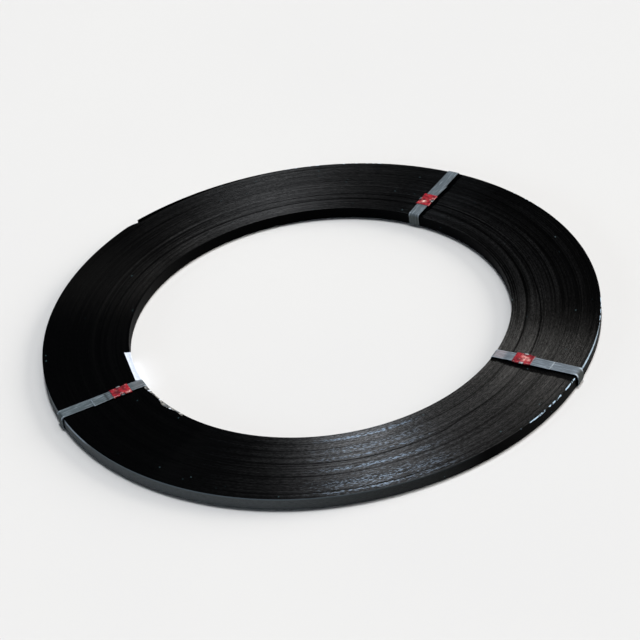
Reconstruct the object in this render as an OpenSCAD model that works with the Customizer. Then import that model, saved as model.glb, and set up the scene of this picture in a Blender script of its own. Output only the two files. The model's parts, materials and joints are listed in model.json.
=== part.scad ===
// Coil of steel strapping, ribbon wound: one long strap turned on itself round an open
// bore, held by three strap ties with crimped seals, with a torn label on its inner edge.
// Millimetres. The origin is on the bore's axis, on the floor; +Z is the bore's axis.

/* [Strap] */
// Width of the wound strap, which is the coil's height
strap_width = 12.7; // [9:0.1:32]
// Thickness of the wound strap
strap_thickness = 0.508; // [0.45:0.001:0.65]
// Turns of strap from the bore to the rim
turns = 184; // [150:1:220]

/* [Coil] */
// Diameter of the open bore
bore_diameter = 406.4; // [300:0.1:610]
// Most that a turn stands proud of, or below, the coil's mean face
uneven_winding = 0.3; // [0.1:0.05:0.5]
// Angle at which the outer end of the strap lies
loose_end_angle = 129; // [110:1:150]
// How far the loose outer end springs off the coil
loose_end_spring = 2; // [1:0.1:4]

/* [Ties] */
// Width of the three tie straps
tie_width = 12.7; // [9:0.1:16]
// Thickness of the tie straps
tie_thickness = 0.5; // [0.4:0.05:0.8]
// Angle of the tie on the left
left_tie_angle = 201.7; // [190:0.1:215]
// Angle of the tie at the back
back_tie_angle = 53.7; // [40:0.1:65]
// Angle of the tie on the right
right_tie_angle = 327.2; // [310:0.1:345]
// Length of tie strap left over beyond each seal
tie_tail = 21; // [10:1:26]
// Sideways shift of the upper layer of a tie
tail_shift = 0.6; // [0.2:0.1:1.5]

/* [Seals] */
// Length of a seal along its tie
seal_length = 22; // [16:0.5:28]
// Thickness of the seal's sheet
seal_sheet = 0.7; // [0.5:0.05:1.1]
// Middle of the left seal, as a share of the way from bore to rim
left_seal_place = 0.285; // [0.25:0.005:0.45]
// Middle of the back seal, as a share of the way from bore to rim
back_seal_place = 0.322; // [0.25:0.005:0.45]
// Middle of the right seal, as a share of the way from bore to rim
right_seal_place = 0.355; // [0.25:0.005:0.45]
// Length of each crimped notch in a seal's edge
notch_length = 4.4; // [3:0.1:6]
// Depth of each crimped notch
notch_depth = 2.6; // [1.5:0.1:3]
// Angle by which the cut tabs are pressed down
tab_angle = 20; // [8:1:24]

/* [Label] */
// Thickness of the label
label_thickness = 0.25; // [0.12:0.01:0.3]
// Angle that the whole part of the label spans, before the left tie
label_angle = 14.6; // [8:0.1:24]
// Width of the label's flap on the coil's face, at its ends
label_flap = 6.6; // [4:0.1:12]
// Angle that the torn strip of label spans, past the left tie
torn_angle = 20.8; // [6:0.1:30]
// Width of the torn strip
torn_width = 2.2; // [1:0.1:4]

/* [Hidden] */
$fa = 3;
$fs = 0.5;
seat_gap = 0.02;
bore_gap = 0.45;
rim_gap = 0.8;
slack = 0.05;
bore_r = bore_diameter / 2;
build_up = turns * strap_thickness;
coil_r = bore_r + build_up;
coil_low = tie_thickness + seat_gap + uneven_winding;
coil_top = coil_low + strap_width + uneven_winding;
loose_end_lift = 0.45 * uneven_winding;
slot_share = 0.65;
slot_skin = 0.2;
tie_level = coil_top + seat_gap + seal_sheet + slack;
tie_in = bore_r - bore_gap;
tie_out = coil_r + rim_gap;
foot_rise = coil_low - tie_thickness;
label_reach = seat_gap + label_thickness;
label_foot = 0.5;
label_play_angle = 0.3;
bore_bow = hundredth(tie_width * tie_width / (8 * bore_r)) + 0.01;
foot_in = snug_bend(bore_gap - label_reach - bore_bow, foot_rise);
foot_out = snug_bend(rim_gap, foot_rise);
top_in = snug_bend(bore_gap - label_reach - bore_bow, tie_level - coil_top - label_reach);
top_out = snug_bend(rim_gap, tie_level - coil_top);
climb = 6;
end_clear = 3;
climb_clear = 1;
over = 1;
seal_cavity = 2 * tie_thickness + 2 * slack;
seal_low = coil_top + seat_gap;
seal_high = seal_low + 2 * seal_sheet + seal_cavity;
seal_bend_in = seal_cavity / 2;
seal_bend_out = seal_bend_in + seal_sheet;
seal_flat = (tie_width + tail_shift) / 2;
seal_half = seal_flat + seal_bend_out;
notch_y = seal_half - notch_depth;
notch_flare = 0.7;
tab_play = 0.15;
tab_root = 0.25;
tab_sink = 0.1;
tab_spare = 0.2;
tie_tab_spare = 0.7;

// places that meet are kept to whole hundredths, so that they meet exactly
function hundredth(x) = round(x * 100) / 100;

// the roundest bend that still clears a square corner this far off in both directions
function snug_bend(across, up) = hundredth(0.92 * (across + up + sqrt(2 * across * up)));

// 1 in the middle of a groove at this share of the build-up, falling to 0 beside it
function groove(share, at, wide) = exp(-pow((share - at) / wide, 2));

// grooves where a few turns lie below their neighbours
function grooves(share) = min(
    1,
    groove(share, 0.170, 0.012) + groove(share, 0.310, 0.014)
    + groove(share, 0.600, 0.008) + groove(share, 0.918, 0.006)
);

// uneven lie of the turns between the grooves
function wander(i) = 0.50 * sin(37.3 * i) + 0.28 * sin(101.7 * i + 40) + 0.22 * sin(11.9 * i + 200);

// the first and last turns lie level
function edge_fade(i) = min(1, i / 4, (turns - 1 - i) / 4);

// height of turn i over the mean, never more than uneven_winding either way
function rise(i) = let(g = grooves(i / turns))
    uneven_winding * edge_fade(i) * (wander(i) * (1 - g) - g);

// the cut face of the wound strap, one step for each turn at both ends
function wound_section() = concat(
    [for (i = [0 : turns - 1], side = [0, 1])
        [bore_r + (i + side) * strap_thickness, coil_low + strap_width + rise(i)]],
    [for (i = [turns - 1 : -1 : 0], side = [1, 0])
        [bore_r + (i + side) * strap_thickness, coil_low + rise(i)]]
);

// the wedge of a plan between two angles, out past the rim
module wedge(from, to) {
    far = 3 * coil_r;
    polygon([[0, 0], far * [cos(from), sin(from)], far * [cos(to), sin(to)]]);
}

// plan of the last wrap: it leaves the rim on a wider circle, from half its thickness deep under
// the back tie, and its last part stands off the rim with a slot behind it
module loose_plan() {
    span = loose_end_angle - back_tie_angle;
    sunk = strap_thickness / 2;
    off = (loose_end_spring + sunk) / (1 - cos(span));
    difference() {
        intersection() {
            translate([-off, 0])
                circle(r = coil_r + off - sunk + strap_thickness);
            wedge(0, span);
        }
        circle(r = coil_r - 5 * sunk);
        intersection() {
            difference() {
                translate([-off, 0])
                    circle(r = coil_r + off - sunk);
                circle(r = coil_r + slot_skin);
            }
            wedge(slot_share * span, span + 5);
        }
    }
}

module loose_end() {
    rotate([0, 0, back_tie_angle])
        translate([0, 0, coil_low + loose_end_lift])
            linear_extrude(height = strap_width)
                loose_plan();
}

module strap_coil() {
    color([0.05, 0.05, 0.06]) {
        rotate_extrude()
            polygon(wound_section());
        loose_end();
    }
}

// a quarter disc in the corner that points along [sx, sz]
module quarter(r, sx, sz) {
    intersection() {
        circle(r = r);
        translate([sx < 0 ? -r : 0, sz < 0 ? -r : 0])
            square([r, r]);
    }
}

// a rectangle with four rounded corners: low left, low right, high left, high right
module rounded(x0, x1, z0, z1, ll, lr, hl, hr) {
    low = max(ll, lr);
    high = max(hl, hr);
    translate([x0, z0 + low])
        square([x1 - x0, z1 - z0 - low - high]);
    translate([x0 + ll, z0])
        square([x1 - x0 - ll - lr, low]);
    translate([x0 + hl, z1 - high])
        square([x1 - x0 - hl - hr, high]);
    corner(x0 + ll, z0 + ll, ll, -1, -1, low);
    corner(x1 - lr, z0 + lr, lr, 1, -1, low);
    corner(x0 + hl, z1 - hl, hl, -1, 1, high);
    corner(x1 - hr, z1 - hr, hr, 1, 1, high);
}

// a rounded corner and the straight edge that carries it on to the middle of the rectangle
module corner(x, z, r, sx, sz, reach) {
    translate([x, z])
        quarter(r, sx, sz);
    if (reach > r)
        translate([sx < 0 ? x - r : x, sz < 0 ? z : z - reach + r])
            square([r, reach - r]);
}

// distance of a seal's middle from the bore's axis
function seal_middle(seal_place) = hundredth(bore_r + seal_place * build_up);

// side view of a tie: foot, two legs, and the bore side's strap climbing on to the other end
module tie_section(climb_start, low_end) {
    t = tie_thickness;
    lap = 1;
    level = tie_level;
    difference() {
        rounded(
            tie_in - t, tie_out + t, 0, level + t,
            foot_in + t, foot_out + t, top_in + t, top_out + t
        );
        rounded(tie_in, tie_out, t, level, foot_in, foot_out, top_in, top_out);
        translate([climb_start, level - over])
            square([low_end - climb_start, t + 2 * over]);
    }
    polygon([
        [climb_start - lap, level],
        [climb_start, level],
        [climb_start + climb, level + t],
        [climb_start + climb + 2 * lap, level + t],
        [climb_start + climb + 2 * lap, level + 2 * t - seat_gap],
        [climb_start + climb, level + 2 * t - seat_gap],
        [climb_start, level + t],
        [climb_start - lap, level + t]
    ]);
}

// trapezoid notches in both edges, through everything at this height
module notches(x) {
    for (side = [-1, 1])
        translate([x, tail_shift / 2, seal_low - over])
            scale([1, side, 1])
                linear_extrude(height = seal_high - seal_low + 2 * over)
                    polygon([
                        [-notch_length / 2, notch_y],
                        [notch_length / 2, notch_y],
                        [notch_length / 2 + notch_flare, seal_half + over],
                        [-notch_length / 2 - notch_flare, seal_half + over]
                    ]);
}

// cut tabs pressed down out of both edges, hinged on the notch's inner line and this much
// longer than the notch is deep
module tabs(x, z, sheet, spare) {
    for (side = [-1, 1])
        translate([x, tail_shift / 2, z])
            scale([1, side, 1])
                translate([tab_play - notch_length / 2, notch_y, 0])
                    rotate([-tab_angle, 0, 0])
                        translate([0, -tab_root, 0])
                            cube([
                                notch_length - 2 * tab_play,
                                notch_depth + spare + tab_root,
                                sheet
                            ]);
}

// the tie: foot under the coil, two legs, and two layers on top that overlap at the seal
module tie(angle, seal_place) {
    seal_x = seal_middle(seal_place);
    low_end = seal_x - seal_length / 2 - end_clear;
    climb_start = low_end - climb - climb_clear;
    high_start = climb_start + climb + climb_clear / 2;
    high_end = seal_x + seal_length / 2 + tie_tail;
    color([0.42, 0.46, 0.50])
        rotate([0, 0, angle]) {
            difference() {
                union() {
                    translate([0, tie_width / 2, 0])
                        rotate([90, 0, 0])
                            linear_extrude(height = tie_width)
                                tie_section(climb_start, low_end);
                    translate([
                        high_start,
                        tail_shift - tie_width / 2,
                        tie_level + tie_thickness - seat_gap
                    ])
                        cube([high_end - high_start, tie_width, tie_thickness + seat_gap]);
                }
                notches(seal_x);
            }
            tabs(seal_x, tie_level + tie_thickness - tab_sink, tie_thickness, tie_tab_spare);
        }
}

// end view of a seal: a sheet folded round both layers, with its seam underneath
module seal_section() {
    middle = (seal_low + seal_high) / 2;
    seam = 1.6;
    difference() {
        union() {
            translate([-seal_flat, seal_low])
                square([2 * seal_flat, 2 * seal_bend_out]);
            for (side = [-1, 1])
                translate([side * seal_flat, middle])
                    circle(r = seal_bend_out);
        }
        translate([-seal_flat, middle - seal_bend_in])
            square([2 * seal_flat, 2 * seal_bend_in]);
        for (side = [-1, 1])
            translate([side * seal_flat, middle])
                circle(r = seal_bend_in);
        translate([-seam / 2, seal_low - over])
            square([seam, seal_sheet + over + slack]);
    }
}

module seal(angle, seal_place) {
    seal_x = seal_middle(seal_place);
    color([0.62, 0.05, 0.07])
        rotate([0, 0, angle]) {
            difference() {
                translate([seal_x - seal_length / 2, tail_shift / 2, 0])
                    rotate([90, 0, 90])
                        linear_extrude(height = seal_length)
                            seal_section();
                notches(seal_x);
            }
            tabs(seal_x, seal_high - seal_sheet, seal_sheet, tab_spare);
        }
}

// the label's strip along the bore's edge, turned down the bore's wall
module edge_strip(from, angle) {
    rotate([0, 0, from])
        rotate_extrude(angle = angle)
            translate([bore_r - label_reach, 0])
                polygon([
                    [0, coil_low + label_foot],
                    [label_thickness, coil_low + label_foot],
                    [label_thickness, coil_top + seat_gap],
                    [torn_width, coil_top + seat_gap],
                    [torn_width, coil_top + seat_gap + label_thickness],
                    [0, coil_top + seat_gap + label_thickness]
                ]);
}

// the label's whole flap on the coil's face, with a straight outer edge
module label_flap_plate(from) {
    chord = (bore_r + label_flap) * cos(label_angle / 2);
    difference() {
        rotate([0, 0, from])
            rotate_extrude(angle = label_angle)
                translate([bore_r + torn_width / 2, coil_top + seat_gap])
                    square([label_flap + over, label_thickness]);
        rotate([0, 0, from + label_angle / 2])
            translate([chord, -bore_r / 2, coil_top - over])
                cube([3 * label_flap, bore_r, 3 * over]);
    }
}

module inner_edge_label() {
    tie_half = asin(tie_width / 2 / bore_r);
    label_start = left_tie_angle - tie_half - label_play_angle - label_angle;
    color([0.86, 0.89, 0.93]) {
        edge_strip(label_start, label_angle + 2 * (tie_half + label_play_angle) + torn_angle);
        label_flap_plate(label_start);
    }
}

module tie_left() tie(left_tie_angle, left_seal_place);
module tie_back() tie(back_tie_angle, back_seal_place);
module tie_right() tie(right_tie_angle, right_seal_place);
module seal_left() seal(left_tie_angle, left_seal_place);
module seal_back() seal(back_tie_angle, back_seal_place);
module seal_right() seal(right_tie_angle, right_seal_place);

strap_coil();
tie_left();
tie_back();
tie_right();
seal_left();
seal_back();
seal_right();
inner_edge_label();
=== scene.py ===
import json
import math

import bpy
import numpy as np
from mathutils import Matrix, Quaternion, Vector


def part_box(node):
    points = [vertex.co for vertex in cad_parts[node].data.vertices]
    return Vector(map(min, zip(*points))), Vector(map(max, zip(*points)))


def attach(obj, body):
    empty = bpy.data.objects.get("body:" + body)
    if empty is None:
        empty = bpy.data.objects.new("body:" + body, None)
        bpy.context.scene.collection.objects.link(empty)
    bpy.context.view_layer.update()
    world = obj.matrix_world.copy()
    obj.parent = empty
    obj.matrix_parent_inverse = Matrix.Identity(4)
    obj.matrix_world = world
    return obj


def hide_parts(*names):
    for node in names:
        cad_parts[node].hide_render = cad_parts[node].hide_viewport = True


# Coil of steel strapping: the wound strap as one spiral ribbon, three tie straps with crimped
# seals, and a torn label on the bore's edge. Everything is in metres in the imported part's frame.

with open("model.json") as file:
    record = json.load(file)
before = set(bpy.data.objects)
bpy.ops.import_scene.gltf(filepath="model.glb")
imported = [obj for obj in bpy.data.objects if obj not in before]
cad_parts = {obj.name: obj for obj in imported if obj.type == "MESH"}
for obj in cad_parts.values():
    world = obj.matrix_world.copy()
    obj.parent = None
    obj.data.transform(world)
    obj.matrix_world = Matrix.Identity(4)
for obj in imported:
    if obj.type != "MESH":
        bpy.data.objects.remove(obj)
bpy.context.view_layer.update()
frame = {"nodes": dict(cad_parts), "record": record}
mm = 0.001

boreMount = next(m for m in frame["record"]["mounts"] if m["name"] == "bore")
boreRadius = boreMount["dims"]["r_mm"] * mm
strapWidth = boreMount["dims"]["length_mm"] * mm
coilLow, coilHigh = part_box("strap_coil")
rimRadius = -coilLow.y  # the loose end stands off the other side, so this side shows the rim
restLevel = (coilLow.z + coilHigh.z - strapWidth) / 2  # lower edge of a turn that lies level
unevenWinding = coilHigh.z - restLevel - strapWidth
print("frame read: bore radius", round(boreRadius, 4), "rim radius", round(rimRadius, 4))


# values held between nothing and one
def held(values):
    return np.clip(values, 0, 1)


# a bell curve
def bell(x, middle, wide):
    return np.exp(-(((x - middle) / wide) ** 2))


# sums of the values so far, from nothing
def summed(values):
    return np.concatenate([[0], np.cumsum(values)])


# an object in the scene
def addObject(name, data):
    added = bpy.data.objects.new(name, data)
    bpy.context.scene.collection.objects.link(added)
    return added


# points from their distance to the coil's axis, one angle for each row, and their height
def roundAxis(radius, angle, height):
    east, north = np.cos(angle)[:, None], np.sin(angle)[:, None]
    return np.stack([radius * east, radius * north, height], axis=-1)


# points turned round the coil's axis
def turnedRound(points, degrees):
    c, s = math.cos(math.radians(degrees)), math.sin(math.radians(degrees))
    return points @ np.array([[c, s, 0], [-s, c, 0], [0, 0, 1]])


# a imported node's points, turned back by its own angle so that its length lies along +X
def packedPoints(node, degrees=0):
    vertices = frame["nodes"][node].data.vertices
    points = np.empty(len(vertices) * 3)
    vertices.foreach_get("co", points)
    return turnedRound(points.reshape(-1, 3), -degrees)


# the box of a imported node's points, turned back the same way
def packedBox(node, degrees):
    points = packedPoints(node, degrees)
    return points.min(axis=0), points.max(axis=0)


# quads of a grid of points; a closed direction joins its last line to its first
def gridQuads(rows, cols, closeRows=False, closeCols=False):
    a = np.arange(rows if closeRows else rows - 1)[:, None]
    b = np.arange(cols if closeCols else cols - 1)
    aNext, bNext = (a + 1) % rows, (b + 1) % cols
    corners = [a * cols + b, aNext * cols + b, aNext * cols + bNext, a * cols + bNext]
    return np.stack(corners, axis=-1).reshape(-1, 4)


# the same quads' corners, from the values along each direction
def gridUv(alongRows, alongCols):
    rows, cols = len(alongRows), len(alongCols)
    a, b = np.divmod(gridQuads(rows, cols).ravel(), cols)
    return np.stack([alongRows[a], alongCols[b]], axis=-1)


# one mesh object; ends are faces that close a tube, masks are values at the points
def meshPiece(name, points, quads, uv, masks, ends=()):
    mesh = bpy.data.meshes.new(name)
    loops = np.concatenate([quads.ravel()] + [np.asarray(e) for e in ends]).astype(np.int32)
    sizes = np.array([4] * len(quads) + [len(e) for e in ends], dtype=np.int32)
    starts = np.concatenate([[0], np.cumsum(sizes)[:-1]]).astype(np.int32)
    mesh.vertices.add(len(points))
    mesh.vertices.foreach_set("co", points.astype(np.float32).ravel())
    mesh.loops.add(len(loops))
    mesh.loops.foreach_set("vertex_index", loops)
    mesh.polygons.add(len(sizes))
    mesh.polygons.foreach_set("loop_start", starts)
    mesh.polygons.foreach_set("loop_total", sizes)
    mesh.update(calc_edges=True)
    mesh.shade_smooth()
    spare = np.zeros((len(loops) - len(uv), 2))
    layer = mesh.uv_layers.new(name="alongPiece")
    layer.data.foreach_set("uv", np.concatenate([uv, spare]).astype(np.float32).ravel())
    for maskName, values in masks.items():
        mask = mesh.attributes.new(maskName, "FLOAT", "POINT")
        mask.data.foreach_set("value", np.asarray(values, dtype=np.float32).ravel())
    return addObject(name, mesh)


# edges that run along the piece in one of these grid columns are sharp
def markSharp(mesh, sharpColumns, cols):
    ends = np.empty(len(mesh.edges) * 2, dtype=np.int32)
    mesh.edges.foreach_get("vertices", ends)
    first, second = ends[0::2] % cols, ends[1::2] % cols
    sharp = (first == second) & np.isin(first, sharpColumns)
    attribute = mesh.attributes.new("sharp_edge", "BOOLEAN", "EDGE")
    attribute.data.foreach_set("value", sharp)


# a closed section carried along a path; a mask has a value for each row or each point
def tubePiece(name, grid, alongRows, alongCols, sharpColumns, masks):
    rows, cols = grid.shape[:2]
    ends = [np.arange(cols), np.arange(cols)[::-1] + (rows - 1) * cols]
    masks = {key: np.broadcast_to(value, (rows, cols)) for key, value in masks.items()}
    quads, uv = gridQuads(rows, cols, closeCols=True), gridUv(alongRows, alongCols)
    piece = meshPiece(name, grid.reshape(-1, 3), quads, uv, masks, ends)
    markSharp(piece.data, sharpColumns, cols)
    return piece


# smooth noise: random values on a lattice, blended with a smooth step; y repeats after cells
def softNoise(x, y, cells, seed):
    x, y = np.broadcast_arrays(x, y)
    lattice = np.random.default_rng(seed).uniform(-1, 1, (int(x.max()) + 3, cells))
    xCell, yCell = np.floor(x).astype(int), np.floor(y).astype(int)
    fx, fy = x - xCell, y - yCell
    fx, fy = fx * fx * (3 - 2 * fx), fy * fy * (3 - 2 * fy)
    y0, y1 = yCell % cells, (yCell + 1) % cells
    low = lattice[xCell, y0] * (1 - fy) + lattice[xCell, y1] * fy
    high = lattice[xCell + 1, y0] * (1 - fy) + lattice[xCell + 1, y1] * fy
    return low * (1 - fx) + high * fx


# the same noise along one line
def lineNoise(x, seed):
    return softNoise(x, x * 0, 2, seed)


strap = {
    "turns": 183.82,
    "outerEnd": 129.0,  # degrees, where the free end lies
    "looseFrom": 53.7,  # degrees, where it starts to leave the rim
    "spring": 5.5 * mm,  # how far its tip stands off
    "bulge": 5.2 * mm,  # swelling of the turn below past the free end
    "bulgeRise": 1.5,  # degrees in which it swells
    "bulgeFall": 60.0,  # degrees in which it sinks back
    "bulgeTurns": 14,  # turns that swell
    "lengths": 4,  # pieces that the ribbon is made in
    "stepsPerTurn": 240,
    "edgeCut": 0.07 * mm,  # small bevel left by slitting
    "edgeSlope": 0.06 * mm,  # fall of the slit edge towards the outside
    "air": 0.012 * mm,  # between turns
    "floorGap": 0.02 * mm,  # the lowest a turn's edge may lie
    # uneven winding: strength, turns that a wave spans, waves round the coil, seed
    "waves": [(0.30, 6.0, 8, 11), (0.40, 1.6, 36, 12), (0.40, 0.8, 60, 13)],
    # grooves of low turns: half-width, then angle, place and depth on the way round; widths and
    # places are shares of the build-up
    "grooves": [
        (0.013, [(0, 0.169, 1), (50, 0.206, 0.7), (110, 0.201, 0.9), (150, 0.244, 1),
                 (180, 0.28, 0.5), (240, 0.24, 0.3), (300, 0.201, 0.5), (345, 0.168, 0.9)]),
        (0.011, [(0, 0.303, 1), (50, 0.312, 0.8), (110, 0.31, 0.5), (175, 0.345, 0.6),
                 (240, 0.43, 0.4), (275, 0.46, 0.8), (296, 0.444, 0.9), (302, 0.399, 0.8),
                 (322, 0.391, 0.8), (345, 0.338, 1)]),
        (0.014, [(0, 0.63, 0.2), (110, 0.60, 0.4), (200, 0.62, 0.4), (262, 0.65, 0.7),
                 (300, 0.645, 0.4), (330, 0.64, 0.2)]),
        (0.006, [(0, 0.34, 0.7), (60, 0.35, 0.2), (200, 0.50, 0.2), (270, 0.525, 0.7),
                 (300, 0.53, 0.1), (330, 0.40, 0.5)]),
        (0.006, [(0, 0.92, 0.4), (90, 0.93, 0.3), (200, 0.92, 0.4), (290, 0.915, 0.6)]),
    ],
    "grooveDepth": 0.7 * mm,
    "grooveCalm": 0.6,  # lower waves in a groove
    "levelEnds": (3, 2),  # turns in which the waves fade at the bore and at the rim
    "wearAndSheen": 0.30,  # of the slit edges, before what differs
    "wearByTurn": (0.15, 14, 41),  # strength, steps for each turn, seed
    # noises like the waves
    "wearDrift": [(0.04, 4, 12, 42)],
    "ringWaves": [(1, 2.4, 5, 43), (0.6, 7, 4, 44)],
    # wear on the way round, which also paints light and shade on the coil's face by angle: angle
    # and share
    "wornAndSheen": [(0, 2.4), (30, 2.6), (60, 1.05), (97, 1.18), (118, 0.72), (128, 0.45), (136, 0.14),
             (150, 0.09), (165, 0.08), (175, 0.04), (230, 0.05), (250, 0.76), (268, 0.97),
             (320, 0.98), (337, 1.38), (345, 1.3)],
    # more wear on the inner turns: angle and steepness
    "innerMore": [(0, 2.7), (20, 1.2), (38, 1.5), (62, 0.0), (97, 0.4), (112, 0.6), (127, 1.3),
                  (142, 2.2), (157, 1.9), (172, 2.4), (200, 0.5), (240, 0.5), (262, 0.9),
                  (292, 0.6), (307, 0.6), (322, 0.2), (337, 0.8), (352, 3.4)],
    # wear of rings of a few turns: angle and share
    "rings": [(0, 1.3), (35, 1.1), (60, 0.2), (110, 0.12), (128, 1.1), (175, 1.3), (240, 0.5),
              (262, 0.25), (300, 0.08), (345, 0.3)],
    "grooveShelter": 0.95,  # less wear in a groove
    # a painted glint: a patch of bright short dashes where the key light glints, and its rows:
    # place, half-width, strength
    "paintedGlintPatch": (268, 289),
    "paintedGlintFade": 9,  # degrees
    "paintedGlintLeast": 0.25,  # between the rows
    "paintedGlintRows": [(0.089, 0.024, 0.7), (0.276, 0.060, 0.35), (0.399, 0.020, 0.5),
                   (0.581, 0.026, 0.6), (0.820, 0.070, 0.40), (0.944, 0.020, 0.5)],
    "stretchFade": 2.5,  # degrees
    # stretches, from and to in degrees and how much: chipped rim painted as steady glints, bare
    # wall with a painted glint, wall with a painted sheen
    "chipped": [(309, 325, 1.0), (343, 353, 0.9), (70, 92, 0.7), (20, 40, 0.3), (105, 126, 0.05)],
    "chipDepth": 1.4,  # millimetres down the wall from the top edge
    "chipFade": 0.15,  # of a turn, in which the chips set in before the outermost turn
    "bareWallGlints": [(330, 341, 0.7), (203, 211, 0.8)],
    "bareGlintDepth": 3.2,  # millimetres down from the top edge
    "wallSheen": (190, 256),
    "wallSheenFade": 42,  # degrees
}
pitch = (rimRadius - boreRadius) / (strap["turns"] + 1)


# values at chosen angles, joined by straight lines
def roundCoil(angle, knots, column=1):
    knots = np.array(knots)
    return np.interp(np.degrees(angle) % 360, knots[:, 0], knots[:, column], period=360)


# how deep the strap lies in a groove: bell curves whose place and depth drift on the way round
def sunkShare(turn, angle):
    sunk = 0
    for wide, knots in strap["grooves"]:
        place, depth = roundCoil(angle, knots), roundCoil(angle, knots, 2)
        sunk = sunk + depth * bell(turn / strap["turns"], place, wide)
    return np.minimum(sunk, 1)


# noises across the turns and round the coil, added up
def windingNoise(turn, angle, listed):
    around = angle / (2 * np.pi)
    return sum(
        strong * softNoise(turn / turns, around * waves, waves, seed)
        for strong, turns, waves, seed in listed
    )


# rise of the strap's edge over its level lie: noise waves less the grooves, both fading out at
# the innermost and outermost turns
def strapRise(turn, angle):
    wander = windingNoise(turn, angle, strap["waves"])
    sunk = sunkShare(turn, angle)
    fadeIn, fadeOut = strap["levelEnds"]
    fade = held(np.minimum(turn / fadeIn, (strap["turns"] - turn) / fadeOut))
    level = np.clip(wander, -1, 1) * unevenWinding * (1 - strap["grooveCalm"] * sunk)
    lowest = strap["floorGap"] - restLevel
    return np.maximum(fade * (level - sunk * strap["grooveDepth"]), lowest)


# the free end leaves the rim with the cube of the way it has gone; past it the turns below
# swell at once and sink back slowly, each one less than the one over it
def looseLift(turn):
    span = (strap["outerEnd"] - strap["looseFrom"]) / 360
    below = strap["turns"] - turn
    gone = held(1 - below / span)
    wholeTurns = np.floor(np.maximum(below, 0))
    pastEnd = (1 + wholeTurns - below) * 360
    rise = 1 - np.exp(-((pastEnd / strap["bulgeRise"]) ** 2))
    fall = held(1 - pastEnd / strap["bulgeFall"]) ** 2
    share = held(1 - wholeTurns / strap["bulgeTurns"])
    return strap["spring"] * gone**3 + strap["bulge"] * rise * fall * share


# one between two angles, falling to nothing over a few degrees
def between(angle, low, high, fall):
    middle, half = (low + high) / 2, (high - low) / 2
    away = np.abs((np.degrees(angle) - middle + 180) % 360 - 180)
    return held((half + fall - away) / fall)


# the most that listed stretches, each with its own strength, give at an angle
def stretches(angle, listed):
    most = np.zeros(len(angle))
    for low, high, much in listed:
        most = np.maximum(most, much * between(angle, low, high, strap["stretchFade"]))
    return most


# how far the paint is worn off the slit edge: noise from turn to turn and along each one, times
# the rings, the place round the coil, which paints light and shade by angle, the shelter of the
# grooves and the place across the turns
def strapWearAndSheen(turn, angle):
    eachTurn, steps, seed = strap["wearByTurn"]
    wearAndSheen = strap["wearAndSheen"] + eachTurn * lineNoise(turn * steps, seed)
    wearAndSheen = wearAndSheen + windingNoise(turn, angle, strap["wearDrift"])
    rings = windingNoise(turn, angle, strap["ringWaves"])
    wearAndSheen = wearAndSheen * np.clip(1 + roundCoil(angle, strap["rings"]) * rings, 0.1, 2.5)
    sheltered = strap["grooveShelter"] * sunkShare(turn, angle)
    wearAndSheen = wearAndSheen * roundCoil(angle, strap["wornAndSheen"]) * (1 - sheltered)
    fromMiddle = turn / strap["turns"] - 0.5
    wearAndSheen = wearAndSheen * np.exp(-fromMiddle * roundCoil(angle, strap["innerMore"]))
    return np.clip(wearAndSheen, 0.01, 2)


# a painted glint, where the edges are bright: bell curves across the build-up inside one patch
def paintedGlintRows(turn, angle):
    rows = strap["paintedGlintLeast"]
    for place, wide, strong in strap["paintedGlintRows"]:
        rows = rows + strong * bell(turn / strap["turns"], place, wide)
    rows = held(rows * (1 - sunkShare(turn, angle)))
    return rows * between(angle, *strap["paintedGlintPatch"], strap["paintedGlintFade"])


# ribbon section carried along an Archimedean spiral: radius grows by one pitch for each turn
def strapLength(name, fromTurn, toTurn):
    steps = int(round((toTurn - fromTurn) * strap["stepsPerTurn"]))
    turn = np.linspace(fromTurn, toTurn, steps + 1)
    angle = np.radians(strap["outerEnd"]) - (strap["turns"] - turn) * 2 * np.pi
    thick, cut = pitch - strap["air"], strap["edgeCut"]
    across = np.array([0, cut, thick - cut, thick, thick, thick - cut, cut, 0])
    up = np.array([cut, 0, 0, cut, strapWidth - cut, strapWidth, strapWidth, strapWidth - cut])
    up = up - np.array([0, 0, 0, 0, 1, 1, 0, 0]) * strap["edgeSlope"]
    radius = (boreRadius + pitch * turn + looseLift(turn))[:, None] + across
    height = (restLevel + strapRise(turn, angle))[:, None] + up
    lengthAlong = 2 * np.pi * turn * (boreRadius + pitch * turn / 2)
    roundSection = np.hypot(np.diff(across, append=across[0]), np.diff(up, append=up[0]))
    onEdge = np.array([0, 1, 1, 0, 0, 1, 1, 0])
    onTop = np.array([0, 0, 0, 0, 1, 1, 1, 1])
    onWall = np.array([0, 0, 0, 1, 1, 0, 0, 0])
    lastTurn = turn > strap["turns"] - 1
    chipFade = strap["chipFade"]
    outermost = held((turn - strap["turns"] + (1 + chipFade)) / chipFade)
    chips = stretches(angle, strap["chipped"]) * outermost
    # bare wall band, painted bright as a glint
    bare = stretches(angle, strap["bareWallGlints"]) * lastTurn
    # the outer wall's painted sheen, on its left side
    dull = between(angle, *strap["wallSheen"], strap["wallSheenFade"]) * lastTurn
    grid = roundAxis(radius, angle, height)
    return tubePiece(name, grid, lengthAlong, summed(roundSection) / mm, np.arange(8), {
        "wearAndSheen": strapWearAndSheen(turn, angle)[:, None] * onEdge,
        "bright": paintedGlintRows(turn, angle)[:, None] * onEdge,
        "chips": chips[:, None] * onTop,
        "bareWallGlint": bare[:, None] * onWall,
        "wallSheen": dull[:, None] * onWall,
    })


strapPieces = []
for n in range(strap["lengths"]):
    share = strap["turns"] / strap["lengths"]
    strapPieces.append(strapLength(f"woundStrap{n + 1}", n * share, (n + 1) * share))
print("wound strap:", sum(len(p.data.polygons) for p in strapPieces), "faces")
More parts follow.
